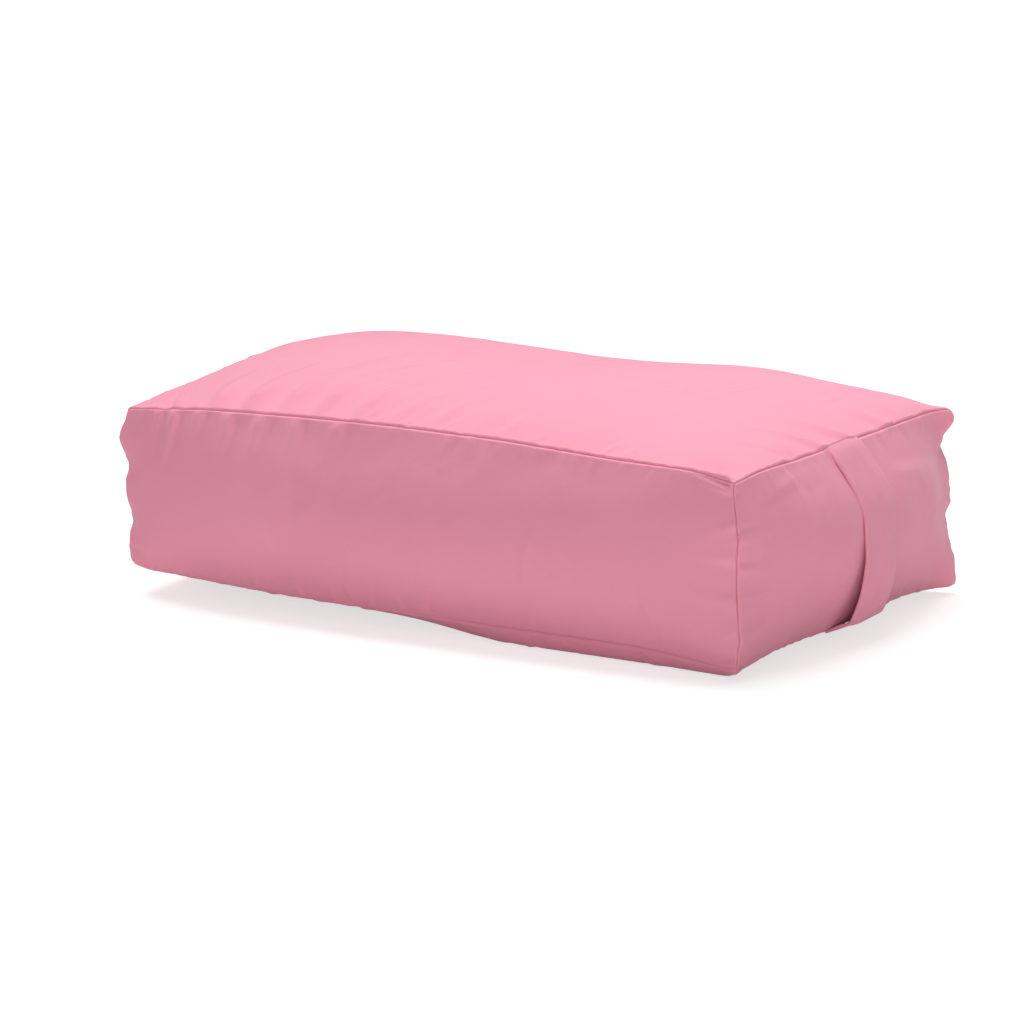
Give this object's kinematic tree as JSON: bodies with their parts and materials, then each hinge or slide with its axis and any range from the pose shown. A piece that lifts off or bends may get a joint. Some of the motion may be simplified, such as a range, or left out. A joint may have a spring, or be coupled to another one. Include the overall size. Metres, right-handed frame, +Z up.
{
  "type": "rectangular yoga bolster",
  "caption": "Firm rectangular bolster cushion: sewn cotton cover with a strap handle on one short end and a zip along the back, over a lined foam and fibre filling.",
  "frame": {"origin": "middle of the flat face that the bolster rests on", "axes": "+X along the length towards the end with the strap handle, -Y towards the plain long side, +Z up"},
  "size_m": [0.6622, 0.3811, 0.191],
  "materials": {
    "cover": "matte pink cotton twill with a faint sheen",
    "liner": "unbleached plain-weave calico",
    "fibre": "soft white fibre batting",
    "foam": "open-cell foam, pale yellow",
    "thread": "matching spun polyester thread",
    "label": "white satin ribbon, blank",
    "zip_tape": "woven polyester tape, matching pink",
    "zip_coil": "nylon coil, matching pink",
    "zip_metal": "satin nickel-plated die casting"
  },
  "bodies": {
    "cushion": {"cover_top_panel": "cover", "cover_bottom_panel": "cover", "cover_front_panel": "cover", "cover_handle_end_panel": "cover", "cover_plain_end_panel": "cover", "cover_back_upper_strip": "cover", "cover_back_lower_strip": "cover", "liner_top_panel": "liner", "liner_bottom_panel": "liner", "liner_front_panel": "liner", "liner_back_panel": "liner", "liner_left_panel": "liner", "liner_right_panel": "liner", "fibre_bottom_layer": "fibre", "fibre_top_layer": "fibre", "fibre_side_wrap": "fibre", "foam_core": "foam", "thread_top_seam": "thread", "thread_bottom_seam": "thread", "thread_corner_seams": "thread", "care_label": "label", "zip_tape_upper": "zip_tape", "zip_tape_lower": "zip_tape", "zip_coil_upper": "zip_coil", "zip_coil_lower": "zip_coil", "zip_top_stop": "zip_metal", "zip_bottom_stop": "zip_metal", "handle_strap": "cover"},
    "slider": {"zip_slider": "zip_metal"},
    "pull": {"zip_pull_tab": "zip_metal"}
  },
  "joints": [
    {"name": "zip_travel", "type": "slide", "parent": "cushion", "child": "slider", "axis": [-1, 0, 0], "range_m": [0, 0.526]},
    {"name": "pull_swing", "type": "hinge", "parent": "slider", "child": "pull", "pos_m": [0.263, 0.1837, 0.088], "axis": [0, 0, -1], "range_deg": [0, 180]}
  ]
}
